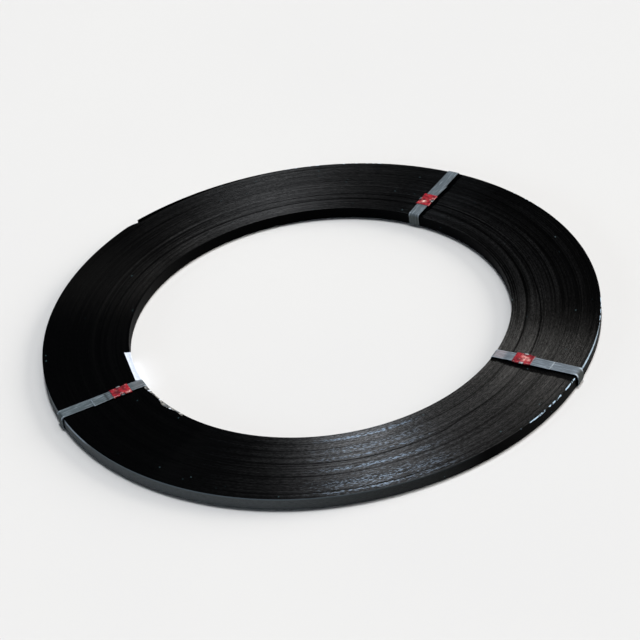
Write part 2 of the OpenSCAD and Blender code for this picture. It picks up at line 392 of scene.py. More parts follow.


# for each tie: place round the coil in degrees; bulge of the outer leg; side shift of the tail;
# place of a crease past the seal; seed of the small bends; painted glints and dark spots on its
# seal, the spots partly soil and partly painted shade, each along and across from the middle and
# size in millimetres, and strength; painted shine of the seal's two tabs, tone of the zinc,
# painted highlight of the slit edges and painted light and shade of the cut end; how rubbed the
# inner end is and how much painted shade the outer leg has; the seal's length as a share of the
# imported one's
ties = {
    "left": {
        "angle": 201.7, "bulge": 0.3 * mm, "tailShift": 2.0 * mm, "crease": 5.2 * mm, "seed": 21,
        "sealGlintSpots": [(-7.5, 5.5, 1.7, 0.9), (-5.0, 6.2, 1.5, 0.7), (-1.0, 4.5, 1.2, 0.4)],
        "soilAndShadeSpots": [(4.5, 1.0, 5.0, 0.6), (-4.0, -2.5, 4.0, 0.5)],
        "tabShine": (0.6, 0.05), "zincTone": 0.0, "edgeHighlightTone": 0.5, "endLightTone": 1.0, "rubbed": 0.3,
        "outerLegShade": 0.2, "sealLong": 0.91,
    },
    "back": {
        "angle": 53.7, "bulge": 0.2 * mm, "tailShift": -2.0 * mm, "crease": None, "seed": 22,
        "sealGlintSpots": [(-4.4, 1.0, 2.7, 1.0), (1.0, -4.0, 1.2, 0.4), (4.5, -5.5, 1.4, 0.5)],
        "soilAndShadeSpots": [(-1.6, 2.2, 1.3, 1.0), (2.5, -2.0, 2.4, 0.5), (5.0, 3.5, 2.2, 0.4)],
        "tabShine": (0.1, 0.3), "zincTone": 0.4, "edgeHighlightTone": 0.0, "endLightTone": 0.1, "rubbed": 0.0,
        "outerLegShade": 0.0, "sealLong": 0.96,
    },
    "right": {
        "angle": 327.2, "bulge": 1.0 * mm, "tailShift": -1.0 * mm, "crease": None, "seed": 23,
        "sealGlintSpots": [(-1.5, 2.6, 2.4, 1.0), (2.4, 1.2, 2.8, 0.9), (1.0, -2.6, 2.2, 0.9),
                   (5.6, -1.4, 2.2, 0.8)],
        "soilAndShadeSpots": [(-6.0, -1.0, 3.0, 0.5), (7.5, 4.0, 2.6, 0.4), (0.5, 0.0, 1.0, 0.5)],
        "tabShine": (0.8, 0.9), "zincTone": 1.0, "edgeHighlightTone": 0.8, "endLightTone": 0.4, "rubbed": 1.0,
        "outerLegShade": 0.9, "sealLong": 0.92,
    },
}
tieShape = {
    "thick": 0.48 * mm,
    "layerGap": 0.04 * mm,  # between the two layers
    "edgeCut": 0.1 * mm,
    "step": 1.2 * mm,  # between points along the tie
    "bend": 1.4 * mm,  # inner radius of the bends at the foot
    "topBend": 2.6 * mm,  # inner radius of the bends over the coil's edges
    "endClear": 3.0 * mm,  # from the seal to the lower layer's end
    "climbClear": 1.0 * mm,  # from there to the climb
    "climb": 6.0 * mm,
    "climbBend": 8.0 * mm,
    "wander": 0.12 * mm,  # small bends to the sides
    "wanderLength": 30 * mm,
    "pinch": 0.12,  # share of the width that the seal's notches take
    "pinchLength": 2.3 * mm,
    "creaseDepth": 0.3 * mm,
    "creaseLength": 1.2 * mm,
    "legFade": 3 * mm,  # below the lower layer, where the leg's soil sets in
    "rubbedReach": 16 * mm,  # along the top from the inner leg
    "outerShadeReach": 4 * mm,  # inwards from the outer leg
    "cutEnd": 0.5 * mm,
}


# a closed section from its first half and the same half turned round
def bothHalves(first):
    return np.concatenate([first, -first])


# straight runs joined by arcs that touch both; each corner turns by its own angle
def roundedPath(corners, radii, step):
    corners = np.array(corners, dtype=float)
    start = corners[0]
    track = [start[None]]
    for i, radius in enumerate(radii, start=1):
        into = corners[i] - corners[i - 1]
        out = corners[i + 1] - corners[i]
        into, out = into / np.linalg.norm(into), out / np.linalg.norm(out)
        turn = math.acos(float(np.clip(into @ out, -1, 1)))
        begin = corners[i] - into * (radius * math.tan(turn / 2))
        side = np.array([-into[1], into[0]])
        side = side * np.sign(side @ out)
        swing = np.linspace(0, turn, max(4, int(math.degrees(turn) / 7)))[1:, None]
        arc = begin + radius * (np.sin(swing) * into + (1 - np.cos(swing)) * side)
        track += [runBetween(start, begin, step), arc]
        start = arc[-1]
    return np.concatenate(track + [runBetween(start, corners[-1], step)])


# evenly spread points from just past the start to the end
def runBetween(start, end, step):
    count = max(2, int(np.linalg.norm(end - start) / step) + 1)
    share = np.linspace(0, 1, count)[1:, None]
    return start + (end - start) * share


# where the tie's tail ends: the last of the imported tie's highest points
def packedTail(side, degrees):
    points = packedPoints("tie_" + side, degrees)
    return points[points[:, 2] > points[:, 2].max() - 0.02 * mm, 0].max()


# flat section carried along lower layer, outer leg, foot, inner leg, climb, upper layer, tail
def tiePiece(side):
    spec, shape = ties[side], tieShape
    low, high = packedBox("tie_" + side, spec["angle"])
    sealLow, sealHigh = packedBox("seal_" + side, spec["angle"])
    middle, sealHalf = (sealLow[0] + sealHigh[0]) / 2, (sealHigh[0] - sealLow[0]) / 2
    half, halfWide = shape["thick"] / 2, strapWidth / 2
    xIn, xOut = low[0] + half, high[0] - half
    lower, upper = high[2] - 3 * half - shape["layerGap"], high[2] - half
    lowEnd = middle - sealHalf - shape["endClear"]
    climbEnd = lowEnd - shape["climbClear"]
    highEnd = packedTail(side, spec["angle"])
    bend, topBend = shape["bend"] + half, shape["topBend"] + half
    path = roundedPath(
        [
            (lowEnd, lower), (xOut, lower), (xOut, half), (xIn, half), (xIn, lower),
            (climbEnd - shape["climb"], lower), (climbEnd, upper), (highEnd, upper),
        ],
        [topBend, bend, bend, topBend, shape["climbBend"], shape["climbBend"]],
        shape["step"],
    )
    ahead = np.gradient(path, axis=0)
    run = summed(np.linalg.norm(np.diff(path, axis=0), axis=1))
    ahead = ahead / np.linalg.norm(ahead, axis=1)[:, None]
    outward = np.stack([-ahead[:, 1], ahead[:, 0]], axis=1)  # away from the coil on every run

    pathX, pathZ = path.T
    onOuterLeg = (np.abs(pathX - xOut) < 0.01 * mm) & (pathZ < lower)
    bow = np.where(onOuterLeg, np.sin(np.pi * held(pathZ / lower)), 0)
    pathX = pathX + bow * spec["bulge"]
    onUpper = (run > run.max() / 2) & (pathZ > lower - half)
    gone = held((pathX - middle) / (highEnd - middle)) * onUpper
    wander = shape["wander"] * lineNoise(run / shape["wanderLength"], spec["seed"])
    sideways = gone * spec["tailShift"] + wander
    creased = np.zeros(len(run))
    if spec["crease"]:
        pastSeal = pathX - middle - sealHalf
        creased = bell(pastSeal, spec["crease"], shape["creaseLength"]) * onUpper
        pathZ = pathZ - creased * shape["creaseDepth"]

    # what the finish reads
    level = pathZ > lower - half
    swing = np.abs(np.gradient(np.unwrap(np.arctan2(ahead[:, 1], ahead[:, 0])))) / np.gradient(run)
    bent = held(swing * topBend * 1.5)
    leg = held((lower - pathZ) / shape["legFade"])
    toInner = held(1 - (pathX - xIn) / shape["rubbedReach"]) * level
    toOuter = held((pathX - xOut) / shape["outerShadeReach"] + 1)
    rowMasks = {
        "crease": creased,
        "cutEnd": run > run.max() - shape["cutEnd"],
        "bend": bent,
        "leg": leg,
        "rubbed": spec["rubbed"] * held(toInner * 3),
        # painted shade on the outer leg and its bend
        "outerShade": spec["outerLegShade"] * held(np.maximum(bent, leg) * 2) * toOuter,
    }
    masks = {key: value[:, None] for key, value in rowMasks.items()}
    masks.update({key: spec[key] for key in ("zincTone", "edgeHighlightTone", "endLightTone")})

    cut = shape["edgeCut"]
    beside = halfWide - cut
    y = bothHalves(
        np.array([-halfWide, -halfWide, -beside, -halfWide / 2, 0, halfWide / 2, beside])
    )
    z = bothHalves(np.array([cut - half, half - cut, half, half, half, half, half]))
    notched = np.exp(-(((pathX - middle) / shape["pinchLength"]) ** 4)) * level
    across = y * (1 - shape["pinch"] * notched)[:, None] + sideways[:, None]
    x = pathX[:, None] + outward[:, :1] * z
    height = pathZ[:, None] + outward[:, 1:] * z
    grid = turnedRound(np.stack([x, across, height], axis=-1), spec["angle"])
    sharpColumns = np.array([0, 1, 2, 6, 7, 8, 9, 13])
    alongCols = np.append(y, y[0]) / halfWide
    return tubePiece("tie" + side.capitalize(), grid, run, alongCols, sharpColumns, masks)


tiePieces = {side: tiePiece(side) for side in ties}
print("ties:", len(tiePieces))


sealShape = {
    "sheet": 0.7 * mm,
    "notchLength": 4.4 * mm,
    "notchFlare": 0.7 * mm,
    "notchDepth": 2.6 * mm,
    "shoulder": (0.05, 0.3, 0.65, 0.95),  # where points lie on the flare, as shares of it
    "flareClear": 0.1 * mm,  # from the flare to the next point
    "endPoints": 14,  # from an end to the flare
    "notchPoints": 11,
    "facePoints": 17,
    "roundPoints": 9,  # on each rounded side
    "endRound": 0.2 * mm,
    "endDrop": 0.18 * mm,  # how far the sheet's end is rounded off
    "uneven": 0.45 * mm,  # waviness of the outline
    "unevenLength": 4 * mm,
    "dent": 0.17 * mm,
    "dentBase": 1.6,  # pressed in all over the top, in dents
    # dents: length, width, strength
    "dents": [(3.1 * mm, 3.3 * mm, 1.0), (1.7 * mm, 1.9 * mm, 0.6)],
    "dentCells": 100,
    "pull": 0.5 * mm,  # how far the notches pull the top's sides down
    "pullLength": 3.4 * mm,
    "tabBend": 16,  # degrees that a cut tab is pressed down
    "tabLength": 3.3 * mm,
    "tabSteps": 8,
    "tabSheet": 0.9,  # a tab's thickness, as a share of the sheet's
    "tabCut": 0.1 * mm,
    "tabClear": 0.15 * mm,  # from the notch's sides
    "tabOverlap": 0.3 * mm,  # how far its root lies inside the sheet
    "tabBelow": 0.05 * mm,  # below the seal's top
}


# parts joined into one, with each part's faces moved on by the points before it
def joinParts(parts):
    points, quads, uv, masks = zip(*parts)
    before = np.cumsum([0] + [len(p) for p in points[:-1]])
    quads = [q + b for q, b in zip(quads, before)]
    return tuple(np.concatenate(arrays) for arrays in (points, quads, uv, masks))


# the folded sheet: a flat oval section, narrowed at the notches, whose outer face runs one way
# and whose inner face runs back
def sealShell(length, halfWide, halfHigh, seed):
    shape = sealShape
    notchHalf, flare = shape["notchLength"] / 2, shape["notchFlare"]
    edge = notchHalf + flare
    outerRun = np.linspace(-length / 2, -edge - shape["flareClear"], shape["endPoints"])
    shoulder = -edge + flare * np.array(shape["shoulder"])
    inNotch = np.linspace(-notchHalf, notchHalf, shape["notchPoints"])
    x = np.concatenate([outerRun, shoulder, inNotch, -shoulder[::-1], -outerRun[::-1]])
    notch = held((edge - np.abs(x)) / flare)
    uneven = shape["uneven"] * (lineNoise((x + length) / shape["unevenLength"], seed + 2) - 1)
    reach = halfWide - halfHigh - notch * shape["notchDepth"] + uneven
    swing = np.linspace(0, np.pi, shape["roundPoints"] + 2)[1:-1]
    face = np.linspace(-1, 1, shape["facePoints"])

    # the oval at each place, from its flat face and one rounded side
    def section(radius):
        flat = bothHalves(np.concatenate([face, np.ones(len(swing))]))
        side = bothHalves(np.concatenate([face * 0, np.sin(swing)]))
        up = bothHalves(np.concatenate([face * 0 + 1, np.cos(swing)]))
        return reach[:, None] * flat + radius[:, None] * side, radius[:, None] * up

    nearEnd = held(1 - (length / 2 - np.abs(x)) / shape["endRound"])
    outerY, outerZ = section(halfHigh - nearEnd * shape["endDrop"])
    innerY, innerZ = section(np.full(len(x), halfHigh - shape["sheet"]))
    along = np.broadcast_to(x[:, None], outerY.shape)
    dents, cells = 0, shape["dentCells"]
    for n, (long, wide, strong) in enumerate(shape["dents"]):
        places = (along + length) / long, outerY / wide + cells / 2
        dents = dents + strong * softNoise(*places, cells, seed + n)
    pull = bell(along, 0, shape["pullLength"]) * (np.abs(outerY) / halfWide) ** 2
    onTop = held(outerZ / halfHigh) ** 2
    outerZ = outerZ - onTop * shape["dent"] * (shape["dentBase"] + dents)
    outerZ = outerZ - shape["pull"] * pull * onTop
    outer = np.stack([along, outerY, outerZ], axis=-1)
    inner = np.stack([along, innerY, innerZ], axis=-1)[::-1]
    grid = np.concatenate([outer, inner])
    rows, cols = grid.shape[:2]
    quads = gridQuads(rows, cols, closeRows=True, closeCols=True)[:, ::-1]
    uv = gridUv(np.linspace(0, 1, rows + 1), np.linspace(0, 1, cols + 1))
    return grid.reshape(-1, 3), quads, uv, np.zeros(rows * cols)


# a cut tab: a small plate whose bend grows along it from its root
def sealTab(side, hinge, top):
    shape = sealShape
    steps, step = shape["tabSteps"], shape["tabLength"] / shape["tabSteps"]
    way = np.linspace(0, 1, steps + 1)
    bend = np.radians(shape["tabBend"]) * way**0.7
    root = hinge - shape["tabOverlap"]
    y = root + summed(np.cos(bend[1:]) * step)
    z = top - summed(np.sin(bend[1:]) * step)
    half = shape["notchLength"] / 2 - shape["tabClear"]
    thick, cut = shape["sheet"] * shape["tabSheet"], shape["tabCut"]
    x = np.array([-half, -half + cut, half - cut, half, half, half - cut, -half + cut, -half])
    down = np.array([cut, 0, 0, cut, thick - cut, thick, thick, thick - cut])
    y = side * (y[:, None] - down * np.sin(bend)[:, None])
    z = z[:, None] - down * np.cos(bend)[:, None]
    points = np.stack([np.broadcast_to(x, y.shape), y, z], axis=-1)
    caps = np.array([[0, 1, 6, 7], [1, 2, 5, 6], [2, 3, 4, 5]])
    caps = np.concatenate([caps, caps[:, ::-1] + steps * len(x)])
    quads = np.concatenate([gridQuads(steps + 1, len(x), closeCols=True), caps])
    uv = gridUv(way, np.linspace(0, 1, len(x) + 1))
    uv = np.concatenate([uv, np.zeros((caps.size, 2))])
    bare = np.broadcast_to(held(way * 3 - 0.6)[:, None], y.shape)
    return points.reshape(-1, 3), quads if side < 0 else quads[:, ::-1], uv, bare.ravel()


# round spots in millimetres from the seal's middle, fading out past their size
def spots(points, listed):
    value = np.zeros(len(points))
    for along, across, size, strong in listed:
        away = np.hypot(points[:, 0] / mm - along, points[:, 1] / mm - across)
        value = np.maximum(value, strong * held(1.4 - away / size))
    return value


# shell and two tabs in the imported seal's box
def sealPiece(side):
    spec = ties[side]
    low, high = packedBox("seal_" + side, spec["angle"])
    middle = (low + high) / 2
    halfWide, halfHigh = (high[1] - low[1]) / 2, (high[2] - low[2]) / 2
    hinge, top = halfWide - sealShape["notchDepth"], halfHigh - sealShape["tabBelow"]
    length = (high[0] - low[0]) * spec["sealLong"]
    shell = sealShell(length, halfWide, halfHigh, spec["seed"] + 10)
    points, quads, uv, bare = joinParts([shell, sealTab(-1, hinge, top), sealTab(1, hinge, top)])
    masks = {
        "bare": bare,
        "shine": np.where(points[:, 1] < 0, *spec["tabShine"]),
        "sealGlint": spots(points, spec["sealGlintSpots"]),
        "soilAndShade": spots(points, spec["soilAndShadeSpots"]),
    }
    points = turnedRound(points + middle, spec["angle"])
    return meshPiece("seal" + side.capitalize(), points, quads, uv, masks)


sealPieces = {side: sealPiece(side) for side in ties}
print("seals:", len(sealPieces))


label = {
    "thick": 0.2 * mm,
    "off": 0.03 * mm,  # clear of the coil
    "foldRadius": 0.5 * mm,
    "curl": 0.9 * mm,  # lift of the flap's outer edge
    "ripple": 0.25 * mm,
    "rippleWaves": (40, 3),  # along the label and across its flap
    "tuft": 0.5 * mm,  # lift of the torn edge's fibres
    "clearFloor": 0.8 * mm,
    "startIn": 0.1,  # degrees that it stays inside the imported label's two ends
    "endIn": 2.0,
    "flapFade": 0.25,  # degrees in which the flap goes over into the torn strip
    "tornWide": 2.2 * mm,
    "tornLeast": 0.6 * mm,
    "tornBase": 0.3,  # what is left of the torn strip everywhere
    "tornFray": 0.3,  # how far fraying changes the torn strip's width
    "tornLeg": (0.15, 0.6),  # shares of the wall under it, least and what fraying adds
    # what more it keeps: place and half-length as shares of it, and size
    "tears": [(0.20, 0.14, 1.1), (0.62, 0.14, 1.5), (0.91, 0.06, 0.9)],
    # ragged edges, outer and lower: waves along the label, strength, seed
    "fray": [(70, 0.5, 31), (23, 0.7, 32)],
    "legFray": [(19, 0.55, 33), (67, 0.4, 35), (160, 0.22, 36)],
    "legFrayBase": 0.22,
    "rows": 420,
    "wallPoints": 8,
    "foldPoints": 7,
    "flapPoints": 12,
}


# noises along the label added up
def ragged(way, listed, start=0):
    return sum((strong * lineNoise(way * waves, seed) for waves, strong, seed in listed), start)


# one sheet up the bore's wall, round the fold and out over the coil's face; its outer edge is a
# straight cut along the flap and torn beyond the left tie
def labelPiece():
    points = packedPoints("inner_edge_label")
    packedAngle = np.degrees(np.arctan2(points[:, 1], points[:, 0])) % 360
    wide = np.hypot(points[:, 0], points[:, 1]) > boreRadius + 1.5 * label["tornWide"]
    first, flapEnd, last = packedAngle.min(), packedAngle[wide].max(), packedAngle.max()
    middle = math.radians((first + flapEnd) / 2)
    toEdge = points[wide, 0] * math.cos(middle) + points[wide, 1] * math.sin(middle)
    chord = toEdge.max()

    degrees = np.linspace(first + label["startIn"], last - label["endIn"], label["rows"])
    angle = np.radians(degrees)
    way = np.linspace(0, 1, label["rows"])
    whole = held((flapEnd - degrees) / label["flapFade"] + 1)
    fray = ragged(way, label["fray"])
    tornShare = (degrees - flapEnd) / (last - flapEnd)
    torn = label["tornBase"]
    for place, half, size in label["tears"]:
        torn = torn + size * bell(tornShare, place, half)
    torn = label["tornWide"] * torn * (1 + label["tornFray"] * fray)
    torn = np.maximum(torn, label["tornLeast"])
    wideness = whole * (chord / np.cos(angle - middle) - boreRadius) + (1 - whole) * torn
    legFray = held(ragged(way, label["legFray"], label["legFrayBase"]))
    legLeast, legMore = label["tornLeg"]
    tornLeg = legLeast + legMore * legFray
    leg = (strapWidth - label["clearFloor"]) * (whole + (1 - whole) * tornLeg)
    whole, way = whole[:, None], way[:, None]

    top = coilHigh.z + label["off"] + label["thick"] / 2
    wall = boreRadius - label["off"] - label["thick"] / 2
    fold = label["foldRadius"]
    up = np.linspace(0, 1, label["wallPoints"] + 1)[:-1]
    swing = np.linspace(0, np.pi / 2, label["foldPoints"])
    out = np.linspace(0, 1, label["flapPoints"] + 1)[1:]
    legR, legZ = whole * 0 + up * 0 + wall, top - fold - leg[:, None] * (1 - up)
    foldR = whole * 0 + (wall + fold * (1 - np.cos(swing)))
    foldZ = whole * 0 + (top - fold + fold * np.sin(swing))
    flapR = wall + fold + (wideness[:, None] - fold + (boreRadius - wall)) * out
    wavesAlong, wavesAcross = label["rippleWaves"]
    ripple = label["ripple"] * softNoise(way * wavesAlong, out * wavesAcross, 8, 34) * out
    tuft = (1 - whole) * out * label["tuft"] * held(fray)[:, None]
    curl = label["curl"] * whole * out**3
    flapZ = top + curl + tuft + np.abs(ripple)
    radius = np.concatenate([legR, foldR, flapR], axis=1)
    height = np.concatenate([legZ, foldZ, flapZ], axis=1)

    # front and back: half the thickness to each side, square to the section
    acrossR, acrossZ = np.gradient(radius, axis=1), np.gradient(height, axis=1)
    size, halfThick = np.hypot(acrossR, acrossZ), label["thick"] / 2
    offR, offZ = -acrossZ / size * halfThick, acrossR / size * halfThick
    ringR = np.concatenate([radius + offR, (radius - offR)[:, ::-1]], axis=1)
    ringZ = np.concatenate([height + offZ, (height - offZ)[:, ::-1]], axis=1)
    grid = roundAxis(ringR, angle, ringZ)
    rows, cols = ringR.shape
    j = np.arange(cols // 2 - 1)
    cap = np.stack([j, j + 1, cols - 2 - j, cols - 1 - j], axis=-1)
    caps = np.concatenate([cap, cap[:, ::-1] + (rows - 1) * cols])
    quads = np.concatenate([gridQuads(rows, cols, closeCols=True), caps])
    uv = gridUv(way[:, 0], np.linspace(0, 1, cols + 1))
    masks = {"torn": np.broadcast_to(1 - whole, (rows, cols))}
    return meshPiece("innerLabel", grid.reshape(-1, 3), quads, uv, masks)


labelSheet = labelPiece()
print("label: 1 sheet,", len(labelSheet.data.polygons), "faces")


view = {
    "distance": 2.432,  # metres from the coil's middle
    "elevation": 35.82,  # degrees
    "roll": -8.15,  # degrees
    "lens": 129.0,  # millimetres
}
aim = Vector((0, 0, restLevel + strapWidth / 2))
elevation = math.radians(view["elevation"])
eye = aim + view["distance"] * Vector((0, -math.cos(elevation), math.sin(elevation)))
camera = addObject("camera", bpy.data.cameras.new("camera"))
camera.data.lens = view["lens"]
camera.data.dof.use_dof = False
camera.data.clip_end = 100
camera.location = eye
facing = (aim - eye).to_track_quat("-Z", "Y")
camera.rotation_mode = "QUATERNION"
camera.rotation_quaternion = facing @ Quaternion((0, 0, 1), math.radians(view["roll"]))
bpy.context.scene.camera = camera
print("camera: lens", view["lens"], "distance", view["distance"])


# whether an input's value is another node's output
def isOutput(value):
    return isinstance(value, bpy.types.NodeSocket)


# sets a node's inputs, and links those that are another node's output
def setInputs(node, inputs):
    for key, value in inputs.items():
        if isOutput(value):
            node.id_data.links.new(value, node.inputs[key])
        else:
            node.inputs[key].default_value = value
    return node.outputs


# the outputs of a new node, in the tree of the first output that it is given or in a named tree
def addNode(kind, inputs, tree=None, **settings):
    tree = tree or next(filter(isOutput, inputs.values())).id_data
    node = tree.nodes.new("ShaderNode" + kind)
    for key, value in settings.items():
        setattr(node, key, value)
    return setInputs(node, inputs)


def doMath(operation, first, second=0.0, clamp=False):
    inputs = {0: first, 1: second}
    return addNode("Math", inputs, operation=operation, use_clamp=clamp)[0]


def doVector(operation, inputs):
    return addNode("VectorMath", inputs, operation=operation)


# the product of several values
def times(first, *others, clamp=False):
    for other in others:
        first = doMath("MULTIPLY", first, other, clamp)
    return first


# value moved from one span to another
def respan(value, fromLow, fromHigh, toLow=0.0, toHigh=1.0):
    inputs = {0: value, 1: fromLow, 2: fromHigh, 3: toLow, 4: toHigh}
    return addNode("MapRange", inputs)[0]


def mixColour(share, first, second):
    return addNode("Mix", {0: share, 6: first, 7: second}, data_type="RGBA")[2]


# a look's colours laid over one another, each by its own share
def layered(look, base, layers):
    base = look[base] if isinstance(base, str) else base
    for share, colour in layers:
        colour = look[colour] if isinstance(colour, str) else colour
        base = mixColour(share, base, colour)
    return base


def noise(vector, scale, detail, rough):
    inputs = {"Vector": vector, "Scale": scale, "Detail": detail, "Roughness": rough}
    return addNode("TexNoise", inputs)[0]


# a group and its inputs
def newGroup(name, takes):
    group = bpy.data.node_groups.new(name, "ShaderNodeTree")
    for key, value in takes.items():
        kind = "NodeSocketVector" if isinstance(value, tuple) else "NodeSocketFloat"
        group.interface.new_socket(key, in_out="INPUT", socket_type=kind).default_value = value
    return group, group.nodes.new("NodeGroupInput").outputs


# closes a group with its outputs
def giveOut(group, results):
    for key in results:
        group.interface.new_socket(key, in_out="OUTPUT", socket_type="NodeSocketFloat")
    setInputs(group.nodes.new("NodeGroupOutput"), results)
    return group


def useGroup(group, inputs):
    return addNode("Group", inputs, node_tree=group)


# lines that run along a strip: noise drawn out along it
def makeDrawnLines():
    group, given = newGroup(
        "drawnLines", {"Strip": (0, 0, 0), "Lines Along": 6.0, "Lines Across": 6.0}
    )
    counts = {0: given["Lines Along"], 1: given["Lines Across"], 2: 1.0}
    scale = addNode("CombineXYZ", counts)[0]
    drawn = doVector("MULTIPLY", {0: given["Strip"], 1: scale})[0]
    finer = addNode("Mapping", {"Vector": drawn, "Scale": (1.7, 3.1, 1)})[0]
    lines = times(noise(drawn, 1.0, 4.0, 0.65), 0.6)
    both = doMath("ADD", lines, times(noise(finer, 1.0, 2.0, 0.5), 0.4))
    return giveOut(group, {"Lines": respan(both, 0.36, 0.64), "Height": both})


# flecks: round spots of several sizes in a share of scattered cells
def makeFlecks():
    group, given = newGroup(
        "flecks", {"Place": (0, 0, 0), "Cells per Metre": 80.0, "Size": 0.06, "Share": 0.2}
    )
    place = given["Place"]
    shake = addNode("TexNoise", {"Vector": place, "Scale": 900.0, "Detail": 1.0})[1]
    shake = doVector("SCALE", {0: shake, "Scale": 1.2 * mm})[0]
    bent = doVector("ADD", {0: place, 1: shake})[0]
    cells = addNode("TexVoronoi", {"Vector": bent, "Scale": given["Cells per Metre"]})
    chance, largeness, tone = addNode("SeparateColor", {0: cells["Color"]})
    near = times(given["Size"], respan(largeness, 0, 1, 0.4, 1.3))
    spot = doMath("LESS_THAN", cells["Distance"], near)
    chosen = doMath("LESS_THAN", chance, given["Share"])
    return giveOut(group, {"Flecks": times(spot, chosen), "Tone": tone})


# uneven dust and grime: broad patches, and a fine grain
def makeGrime():
    group, given = newGroup(
        "grime", {"Place": (0, 0, 0), "Patches per Metre": 40.0, "Low": 0.4, "High": 0.7}
    )
    place, many = given["Place"], given["Patches per Metre"]
    patches = noise(place, many, 4.0, 0.6)
    grain = noise(place, times(many, 14.0), 2.0, 0.6)
    spread = respan(patches, given["Low"], given["High"])
    return giveOut(group, {"Amount": spread, "Grain": grain})


# short dashes that follow the turns: noise on the direction from the axis and on the radius
def makeShortDashes():
    group, given = newGroup(
        "shortDashes", {"Place": (0, 0, 0), "Dashes Round": 60.0, "Dashes Across": 700.0}
    )
    x, y = addNode("SeparateXYZ", {0: given["Place"]})[:2]
    flat = {0: addNode("CombineXYZ", {0: x, 1: y})[0]}
    way = doVector("NORMALIZE", flat)[0]
    way = doVector("SCALE", {0: way, "Scale": given["Dashes Round"]})[0]
    radius = doVector("LENGTH", flat)["Value"]
    across = times(radius, given["Dashes Across"])
    up = addNode("CombineXYZ", {2: across})[0]
    dashes = noise(doVector("ADD", {0: way, 1: up})[0], 1.0, 2.0, 0.6)
    return giveOut(group, {"Dashes": respan(dashes, 0.36, 0.66)})


# a painted shadow: a dark strip along one side of a tie, where the wear is taken away; the place
# is turned to the tie's length and width, and the strip widens from the bore to the middle of the
# build-up
def makePaintedTieShadow():
    group, given = newGroup("paintedTieShadow", {
        "Place": (0, 0, 0), "Turn": (0, 0, 0), "Start": 0.006,
        "Inner Width": 0.003, "Outer Width": 0.008})
    turned = addNode("Mapping", {"Vector": given["Place"], "Rotation": given["Turn"]})[0]
    along, beside = addNode("SeparateXYZ", {0: turned})[:2]
    widths = given["Inner Width"], given["Outer Width"]
    wide = respan(along, boreRadius, (boreRadius + rimRadius) / 2, *widths)
    uneven = noise(given["Place"], 160.0, 2.0, 0.5)
    uneven = respan(uneven, 0.3, 0.7, -1.2 * mm, 1.2 * mm)
    past = doMath("SUBTRACT", times(beside, -1.0), given["Start"])
    left = doMath("SUBTRACT", doMath("ADD", wide, uneven), past)
    begun = respan(past, -0.8 * mm, 0.0)
    notOver = respan(left, -0.4 * mm, 1.4 * mm)
    onSide = doMath("GREATER_THAN", along, 0.0)
    return giveOut(group, {"Strip": times(begun, notOver, onSide)})


drawnLines, flecks, grime = makeDrawnLines(), makeFlecks(), makeGrime()
shortDashes, paintedTieShadow = makeShortDashes(), makePaintedTieShadow()


# a material and the place on the part
def newFinish(name):
    material = bpy.data.materials.new(name)
    material.use_nodes = True
    return material, addNode("TexCoord", {}, material.node_tree)["Object"]


# the amounts of grime and of its grain that a look asks for
def grimeOf(place, look):
    return useGroup(grime, {"Place": place, **look["grime"]})


# the place on a strip, and the part of it across the strip
def alongPiece(material):
    strip = addNode("UVMap", {}, material.node_tree, uv_map="alongPiece")[0]
    return strip, addNode("SeparateXYZ", {0: strip})[1]


def readMask(material, name):
    return addNode("Attribute", {}, material.node_tree, attribute_name=name)["Fac"]


def bump(height, distance, strength):
    inputs = {"Height": height, "Distance": distance, "Strength": strength}
    return addNode("Bump", inputs)[0]


# the material once its shader has its inputs
def finished(material, inputs):
    setInputs(material.node_tree.nodes["Principled BSDF"], inputs)
    return material


blackStrap = {
    "paint": (0.0005, 0.0006, 0.0008, 1),
    "steel": (0.335, 0.338, 0.345, 1),
    # colour of the painted glint dashes
    "bright": (0.090, 0.116, 0.150, 1),
    "fleck": (0.085, 0.155, 0.175, 1),
    # chips and the bare wall band are painted this pale blue-white, as steady glints
    "paleGlint": (0.50, 0.66, 0.82, 1),
    # colour of the outer wall's painted sheen
    "dull": (0.100, 0.108, 0.111, 1),
    # colour of the painted highlight along the outer wall's top
    "rimHighlight": (0.10, 0.13, 0.15, 1),
    "lines": {"Lines Along": 170.0, "Lines Across": 3.0},
    "grime": {"Patches per Metre": 30.0, "Low": 0.35, "High": 0.75},
    "dashes": {"Dashes Round": 65.0, "Dashes Across": 900.0},
    "flecks": {"Cells per Metre": 95.0, "Size": 0.07, "Share": 0.42},
    "chips": {"Cells per Metre": 280.0, "Size": 0.58},
    "wearShown": 0.28,
    "linesInWear": (0.6, 1.4),  # factor between the lines and on them
    "dashesInWear": (0.52, 1.48),
    "paintedGlintHelp": 0.62,  # added to the dashes in the bright patch
    "paintedGlintFrom": (0.92, 1.16),  # sum where a dash starts to be bright, and where it is
    "faintest": 0.25,  # of the flecks
    # millimetres from the wall's top where each starts and is full
    "chipUp": (-strap["chipDepth"], 0.5 - strap["chipDepth"]),
    "bareGlintUp": (-strap["bareGlintDepth"], 0.8 - strap["bareGlintDepth"]),
    "rimHighlightUp": (-1.3, -0.5),
    # painted shadows beside two ties, strips where the wear is taken away: width at the bore and
    # further out
    "paintedTieShadows": {"right": (5.0 * mm, 9.5 * mm), "back": (5.0 * mm, 6.5 * mm)},
    "shadowOverlap": 0.2 * mm,  # how far each strip starts under the tie
    "paintGloss": 0.02,
    "gloss": 0.9,
    "rough": (0.38, 0.52),
    "bump": (0.03 * mm, 0.6),
}
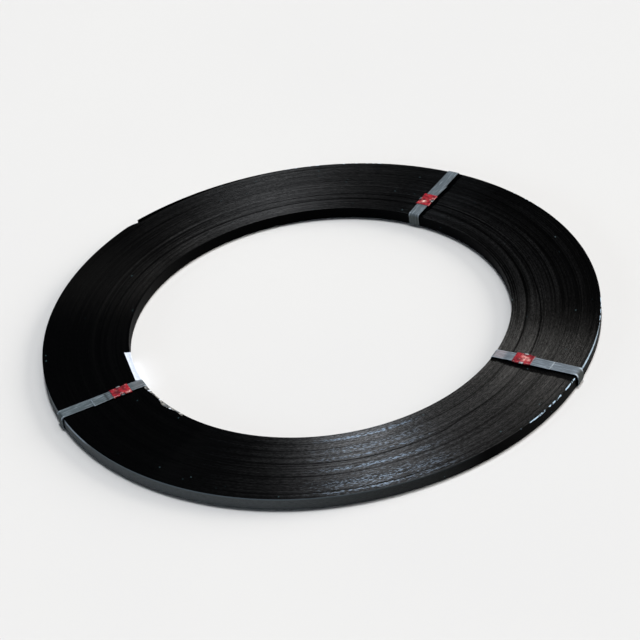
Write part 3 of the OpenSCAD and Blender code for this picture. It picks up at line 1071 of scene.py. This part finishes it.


# black paint worn to steel: wear with painted light and shade by angle, times lines times dashes,
# less under the painted shadows beside the ties; over it dashes with a painted glint, flecks,
# chips painted as glints, the outer wall's painted sheen and rim highlight, and the bare wall's
# painted glint
def blackStrapFinish():
    material, place = newFinish("blackStrapPaint")
    look = blackStrap
    strip, upWall = alongPiece(material)
    linesGiven = useGroup(drawnLines, {"Strip": strip, **look["lines"]})
    lines = linesGiven["Lines"]
    dust = grimeOf(place, look)["Amount"]
    dashes = useGroup(shortDashes, {"Place": place, **look["dashes"]})["Dashes"]
    fleckGiven = useGroup(flecks, {"Place": place, **look["flecks"]})
    bright, wallSheen = readMask(material, "bright"), readMask(material, "wallSheen")

    # wear, with light and shade painted into it by angle round the coil
    wornAndSheen = times(readMask(material, "wearAndSheen"), look["wearShown"])
    linesInWear = respan(lines, 0, 1, *look["linesInWear"])
    dashesInWear = respan(dashes, 0, 1, *look["dashesInWear"])
    wornAndSheen = times(wornAndSheen, linesInWear, dashesInWear, clamp=True)
    # painted shadow beside each of these ties: the wear is taken away in a strip along one side
    for side, (innerWidth, outerWidth) in look["paintedTieShadows"].items():
        tieShadowStrip = useGroup(paintedTieShadow, {
            "Place": place, "Turn": (0, 0, -math.radians(ties[side]["angle"])),
            "Start": strapWidth / 2 - look["shadowOverlap"],
            "Inner Width": innerWidth, "Outer Width": outerWidth})["Strip"]
        wornAndSheen = times(wornAndSheen, doMath("SUBTRACT", 1.0, tieShadowStrip))
    lit = doMath("ADD", dashes, times(bright, look["paintedGlintHelp"]))
    lit = respan(lit, *look["paintedGlintFrom"])
    faint = respan(fleckGiven["Tone"], 0, 1, look["faintest"], 1.0)

    # strength from under a height on the wall to over it
    def upTo(key, low=0.0, high=1.0):
        start, full = (strapWidth / mm + height for height in look[key])
        return respan(upWall, start, full, low, high)

    # chips on the rim: real nicks, painted bright as steady glints
    chipped = times(readMask(material, "chips"), upTo("chipUp", 0.0, 0.85))
    chips = useGroup(flecks, {"Place": place, "Share": chipped, **look["chips"]})
    chips = chips["Flecks"]
    # bare steel band at the top of the outer wall, painted bright as a glint
    bare = times(readMask(material, "bareWallGlint"), upTo("bareGlintUp"))
    bare = times(bare, respan(lines, 0.1, 0.7, 0.2, 0.8))
    base = layered(look, "paint", [
        (wornAndSheen, "steel"),
        # painted glint dashes
        (times(lit, bright), "bright"),
        (times(fleckGiven["Flecks"], faint), "fleck"),
        (chips, "paleGlint"),
        # painted sheen on the outer wall
        (times(wallSheen, respan(lines, 0.1, 0.8, 0.5, 1.0)), "dull"),
        # painted highlight along the outer wall's top edge
        (times(wallSheen, upTo("rimHighlightUp", 0.0, 0.8)), "rimHighlight"),
        (bare, "paleGlint"),
    ])
    covered = doMath("MAXIMUM", fleckGiven["Flecks"], chips)
    metal = times(doMath("MAXIMUM", wornAndSheen, bare), doMath("SUBTRACT", 1.0, covered))
    uneven = doMath("ADD", times(lines, 0.5), times(dust, 0.5))
    # round the coil's axis; turned a quarter below, so that glints spread across the turns
    tangent = addNode("Tangent", {}, material.node_tree, direction_type="RADIAL", axis="Z")[0]
    return finished(material, {
        "Base Color": base,
        "Metallic": times(metal, 40.0, clamp=True),
        "Roughness": respan(uneven, 0, 1, *look["rough"]),
        "Specular IOR Level": look["paintGloss"],
        "Tangent": tangent,
        "Anisotropic": look["gloss"],
        "Anisotropic Rotation": 0.25,
        "Normal": bump(linesGiven["Height"], *look["bump"]),
    })


tieSteel = {
    "zinc": (0.084, 0.112, 0.128, 1),
    "pale": (0.153, 0.184, 0.218, 1),
    "bright": (0.46, 0.54, 0.62, 1),
    "dull": (0.042, 0.052, 0.060, 1),
    "dark": (0.012, 0.014, 0.016, 1),
    "soiled": (0.085, 0.092, 0.080, 1),
    "rubbed": (0.32, 0.275, 0.29, 1),
    # colour of the painted shade on the outer leg
    "outerShade": (0.020, 0.026, 0.027, 1),
    "lines": {"Lines Along": 45.0, "Lines Across": 4.0},
    "grime": {"Patches per Metre": 120.0, "Low": 0.4, "High": 0.7},
    "edgeHighlightFrom": (0.86, 0.95),  # share of the half width where the bright rim starts and is full
    "slitFrom": (0.985, 1.0),
    "bendGlintFrom": (0.6, 0.95),
    "bendGlintStrength": (0.5, 1.6),  # with the tie's edge tone
    "metal": 0.5,
    "rough": (0.62, 0.46),
    "soilRough": 0.35,
    "bump": (0.05 * mm, 0.6),
}


# zinc with drawn lines; over it dust, soil, rubbed places, painted shade on the outer leg, painted
# highlights on the edges and bends (the bends partly scuffed), painted shade in the crease, and
# the slit edges and the cut end toned with painted light and shade
def tieSteelFinish():
    material, place = newFinish("tieZinc")
    look = tieSteel
    strip, across = alongPiece(material)
    across = doMath("ABSOLUTE", across)
    linesGiven = useGroup(drawnLines, {"Strip": strip, **look["lines"]})
    lines = linesGiven["Lines"]
    dust = grimeOf(place, look)
    edgeHighlightTone, leg, outerShade = [readMask(material, name) for name in ("edgeHighlightTone", "leg", "outerShade")]

    # painted highlight along the tie's edges, per tie
    edgeHighlight = times(respan(across, *look["edgeHighlightFrom"]), 0.5)
    edgeHighlight = times(edgeHighlight, respan(dust["Grain"], 0.25, 0.55), edgeHighlightTone)
    # bends: scuffed zinc, brightened further as a painted glint
    bend = times(readMask(material, "bend"), respan(across, *look["bendGlintFrom"], 0.0, 0.6))
    bend = times(bend, respan(edgeHighlightTone, 0, 1, *look["bendGlintStrength"]))
    rubbed = respan(dust["Grain"], 0.4, 0.6, 0.1, 0.9)

    # a colour between two others, as one mask says
    def toned(name, low, high):
        return mixColour(readMask(material, name), look[low], look[high])

    base = layered(look, toned("zincTone", "zinc", "pale"), [
        (respan(lines, 0.0, 0.6, 0.5, 0.0), "dull"),
        (respan(lines, 0.6, 1.0, 0.0, 0.6), "bright"),
        (times(dust["Amount"], 0.35), "dull"),
        (times(leg, 0.7), "soiled"),
        (times(readMask(material, "rubbed"), rubbed), "rubbed"),
        (edgeHighlight, "bright"),
        # painted shade on the outer leg
        (outerShade, "outerShade"),
        (bend, "bright"),
        # painted shade in the crease
        (times(readMask(material, "crease"), 0.8), "dark"),
        # slit edges, toned per tie from painted shade to painted highlight
        (respan(across, *look["slitFrom"]), toned("edgeHighlightTone", "dark", "bright")),
        # cut end, toned per tie: painted light where it faces away from the lamps, painted shade
        # where they light it
        (readMask(material, "cutEnd"), toned("endLightTone", "dark", "bright")),
    ])
    soilAndShade = times(doMath("MAXIMUM", leg, outerShade), look["soilRough"])
    return finished(material, {
        "Base Color": base,
        "Metallic": look["metal"],
        "Roughness": doMath("ADD", respan(lines, 0, 1, *look["rough"]), soilAndShade),
        "Normal": bump(linesGiven["Height"], *look["bump"]),
    })


sealRed = {
    "red": (0.36, 0.010, 0.022, 1),
    "deep": (0.11, 0.003, 0.010, 1),
    # colours of the painted glints and their pale middles
    "sealGlint": (0.74, 0.36, 0.33, 1),
    "wornAndSheen": (0.90, 0.72, 0.66, 1),
    # dark red of the spots, partly soil and partly painted shade
    "soiled": (0.045, 0.004, 0.008, 1),
    "bare": (0.30, 0.37, 0.39, 1),
    "shaded": (0.012, 0.030, 0.036, 1),
    "grime": {"Patches per Metre": 230.0, "Low": 0.42, "High": 0.62},
    "broad": 420.0,  # patches per metre of the rubbed places
    "rough": (0.26, 0.42),
    "grainInBump": 0.12,
    "bump": (0.5 * mm, 0.5),
}


# red lacquer, deeper in patches; over it painted glints with pale middles, dark spots of soil and
# painted shade, and the bare tabs with their painted shine
def sealRedFinish():
    material, place = newFinish("sealRedLacquer")
    look = sealRed
    dust = grimeOf(place, look)
    broad = noise(place, look["broad"], 2.0, 0.5)
    # painted glints at the listed spots, and pink in broad patches
    rubbed = times(readMask(material, "sealGlint"), respan(broad, 0.38, 0.56, 0.3, 1.0))
    rubbed = doMath("MAXIMUM", rubbed, respan(broad, 0.60, 0.72, 0.0, 0.5))
    tabs = mixColour(readMask(material, "shine"), look["shaded"], look["bare"])
    base = layered(look, "red", [
        (dust["Amount"], "deep"),
        (rubbed, "sealGlint"),
        (respan(rubbed, 0.80, 1.0), "wornAndSheen"),
        (readMask(material, "soilAndShade"), "soiled"),
        (readMask(material, "bare"), tabs),
    ])
    height = doMath("ADD", broad, times(dust["Grain"], look["grainInBump"]))
    return finished(material, {
        "Base Color": base,
        "Roughness": respan(dust["Grain"], 0.3, 0.7, *look["rough"]),
        "Normal": bump(height, *look["bump"]),
    })


labelPaper = {
    # the paper's white is painted blue-grey, as in the shade of a sky light
    "shadedWhite": (0.62, 0.68, 0.78, 1),
    "shade": (0.40, 0.47, 0.58, 1),
    "beige": (0.31, 0.295, 0.265, 1),
    "grey": (0.14, 0.15, 0.155, 1),
    "dark": (0.022, 0.024, 0.026, 1),
    "grime": {"Patches per Metre": 380.0, "Low": 0.4, "High": 0.65},
    "broad": 130.0,  # patches per metre of the torn strip's tones
    "streaks": 520.0,
    "rough": (0.65, 0.85),
    "bump": (0.15 * mm, 0.6),
}


# paper painted a blue-grey white, as in shade, and shaded by its fibres; where it is torn, grey,
# beige and that white with dark streaks
def labelPaperFinish():
    material, place = newFinish("labelPaper")
    look = labelPaper
    fibres = grimeOf(place, look)
    broad = noise(place, look["broad"], 3.0, 0.6)
    streaks = noise(place, look["streaks"], 2.0, 0.6)
    torn = layered(look, "grey", [
        (respan(broad, 0.43, 0.56), "beige"),
        (respan(broad, 0.57, 0.64), "shadedWhite"),
        (respan(streaks, 0.42, 0.54, 0.9, 0.0), "dark"),
    ])
    base = layered(look, "shadedWhite", [
        (times(fibres["Amount"], 0.45), "shade"),
        (readMask(material, "torn"), torn),
    ])
    return finished(material, {
        "Base Color": base,
        "Roughness": respan(fibres["Grain"], 0.3, 0.7, *look["rough"]),
        "Normal": bump(fibres["Grain"], *look["bump"]),
    })


paleFloor = {
    "light": (0.69, 0.69, 0.69, 1),
    "dark": (0.67, 0.67, 0.675, 1),
    "rough": (0.85, 0.95),
    "gloss": 0.2,
    "half": 40,  # metres from the middle to each side
}


# two near greys mixed by a broad noise
def floorFinish():
    material, place = newFinish("paleFloor")
    look = paleFloor
    tone = noise(place, 1.4, 3.0, 0.5)
    share = respan(tone, 0.3, 0.7)
    return finished(material, {
        "Base Color": mixColour(share, look["light"], look["dark"]),
        "Roughness": respan(tone, 0.3, 0.7, *look["rough"]),
        "Specular IOR Level": look["gloss"],
    })


def dress(piece, finish):
    piece.data.materials.append(finish)


blackFinish, steelFinish, redFinish = blackStrapFinish(), tieSteelFinish(), sealRedFinish()
for piece in strapPieces:
    dress(piece, blackFinish)
for side in ties:
    dress(tiePieces[side], steelFinish)
    dress(sealPieces[side], redFinish)
dress(labelSheet, labelPaperFinish())
print("finishes:", len(bpy.data.materials))

floorMesh = bpy.data.meshes.new("floor")
half = paleFloor["half"]
corners = [(-half, -half, 0), (half, -half, 0), (half, half, 0), (-half, half, 0)]
floorMesh.from_pydata(corners, [], [(0, 1, 2, 3)])
floor = addObject("floor", floorMesh)
dress(floor, floorFinish())


# a sun that shines from an azimuth and a height, both in degrees
def sunLamp(name, azimuth, height, strength, spread, colour):
    lamp = bpy.data.lights.new(name, "SUN")
    lamp.energy = strength
    lamp.angle = math.radians(spread)
    lamp.color = colour
    a, e = math.radians(azimuth), math.radians(height)
    towards = Vector((math.cos(a) * math.cos(e), math.sin(a) * math.cos(e), math.sin(e)))
    addObject(name, lamp).rotation_euler = towards.to_track_quat("Z", "Y").to_euler()


sunLamp("keyLight", 70, 76, 2.3, 12, (0.97, 0.985, 1))
sunLamp("sideLight", 16, 20, 3.3, 36, (1, 0.96, 0.90))
sunLamp("highLight", 25, 58, 0.7, 30, (1, 0.97, 0.93))
sunLamp("fillLight", 205, 9, 1.0, 30, (0.80, 0.90, 1))
world = bpy.data.worlds.new("studio")
bpy.context.scene.world = world
world.use_nodes = True
background = world.node_tree.nodes["Background"]
background.inputs["Color"].default_value = (0.9, 0.93, 1, 1)
background.inputs["Strength"].default_value = 0.02
bpy.context.scene.view_settings.view_transform = "Standard"
print("floor and lamps:", len(bpy.data.lights), "suns")

for piece in strapPieces:
    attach(piece, "root")
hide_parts("strap_coil")
for side in ties:
    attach(tiePieces[side], "root")
    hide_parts("tie_" + side)
    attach(sealPieces[side], "root")
    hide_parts("seal_" + side)
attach(labelSheet, "root")
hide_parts("inner_edge_label")
